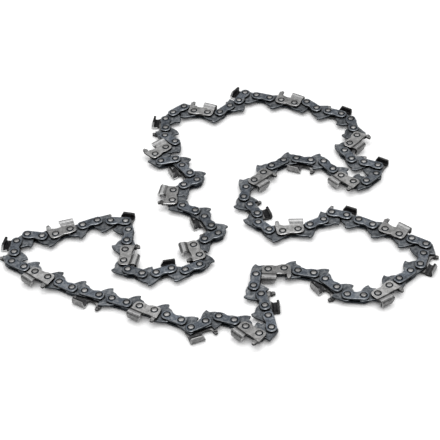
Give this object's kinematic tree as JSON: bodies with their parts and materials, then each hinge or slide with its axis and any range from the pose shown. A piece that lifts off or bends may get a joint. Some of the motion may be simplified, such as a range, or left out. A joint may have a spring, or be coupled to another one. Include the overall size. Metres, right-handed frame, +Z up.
{
  "type": "chainsaw chain loop",
  "caption": "Closed loop of saw chain laid on its side in a loose winding heap, with tangs pointing into the loop and alternating left and right cutters pointing out.",
  "frame": {"origin": "middle of the loop's plan box, on the floor it lies on", "axes": "+Z up along every rivet, +X across the widest way of the loop as seen in the picture, +Y away from the camera"},
  "size_m": [0.2818, 0.2596, 0.0069],
  "materials": {
    "blued_steel": "blued, satin",
    "cutter_plating": "satin hard plating",
    "rivet_steel": "staked, bare"
  },
  "bodies": {
    "root": {"drive_links": "blued_steel", "ramp_drive_links": "blued_steel", "left_tie_straps": "blued_steel", "right_tie_straps": "blued_steel", "left_rivet_heads": "rivet_steel", "right_rivet_heads": "rivet_steel", "left_cutter_01": "cutter_plating", "left_cutter_02": "cutter_plating", "left_cutter_03": "cutter_plating", "left_cutter_04": "cutter_plating", "left_cutter_05": "cutter_plating", "left_cutter_06": "cutter_plating", "left_cutter_07": "cutter_plating", "left_cutter_08": "cutter_plating", "left_cutter_09": "cutter_plating", "left_cutter_10": "cutter_plating", "left_cutter_11": "cutter_plating", "left_cutter_12": "cutter_plating", "left_cutter_13": "cutter_plating", "left_cutter_14": "cutter_plating", "left_cutter_15": "cutter_plating", "left_cutter_16": "cutter_plating", "left_cutter_17": "cutter_plating", "right_cutter_01": "cutter_plating", "right_cutter_02": "cutter_plating", "right_cutter_03": "cutter_plating", "right_cutter_04": "cutter_plating", "right_cutter_05": "cutter_plating", "right_cutter_06": "cutter_plating", "right_cutter_07": "cutter_plating", "right_cutter_08": "cutter_plating", "right_cutter_09": "cutter_plating", "right_cutter_10": "cutter_plating", "right_cutter_11": "cutter_plating", "right_cutter_12": "cutter_plating", "right_cutter_13": "cutter_plating", "right_cutter_14": "cutter_plating", "right_cutter_15": "cutter_plating", "right_cutter_16": "cutter_plating", "right_cutter_17": "cutter_plating"}
  },
  "joints": []
}
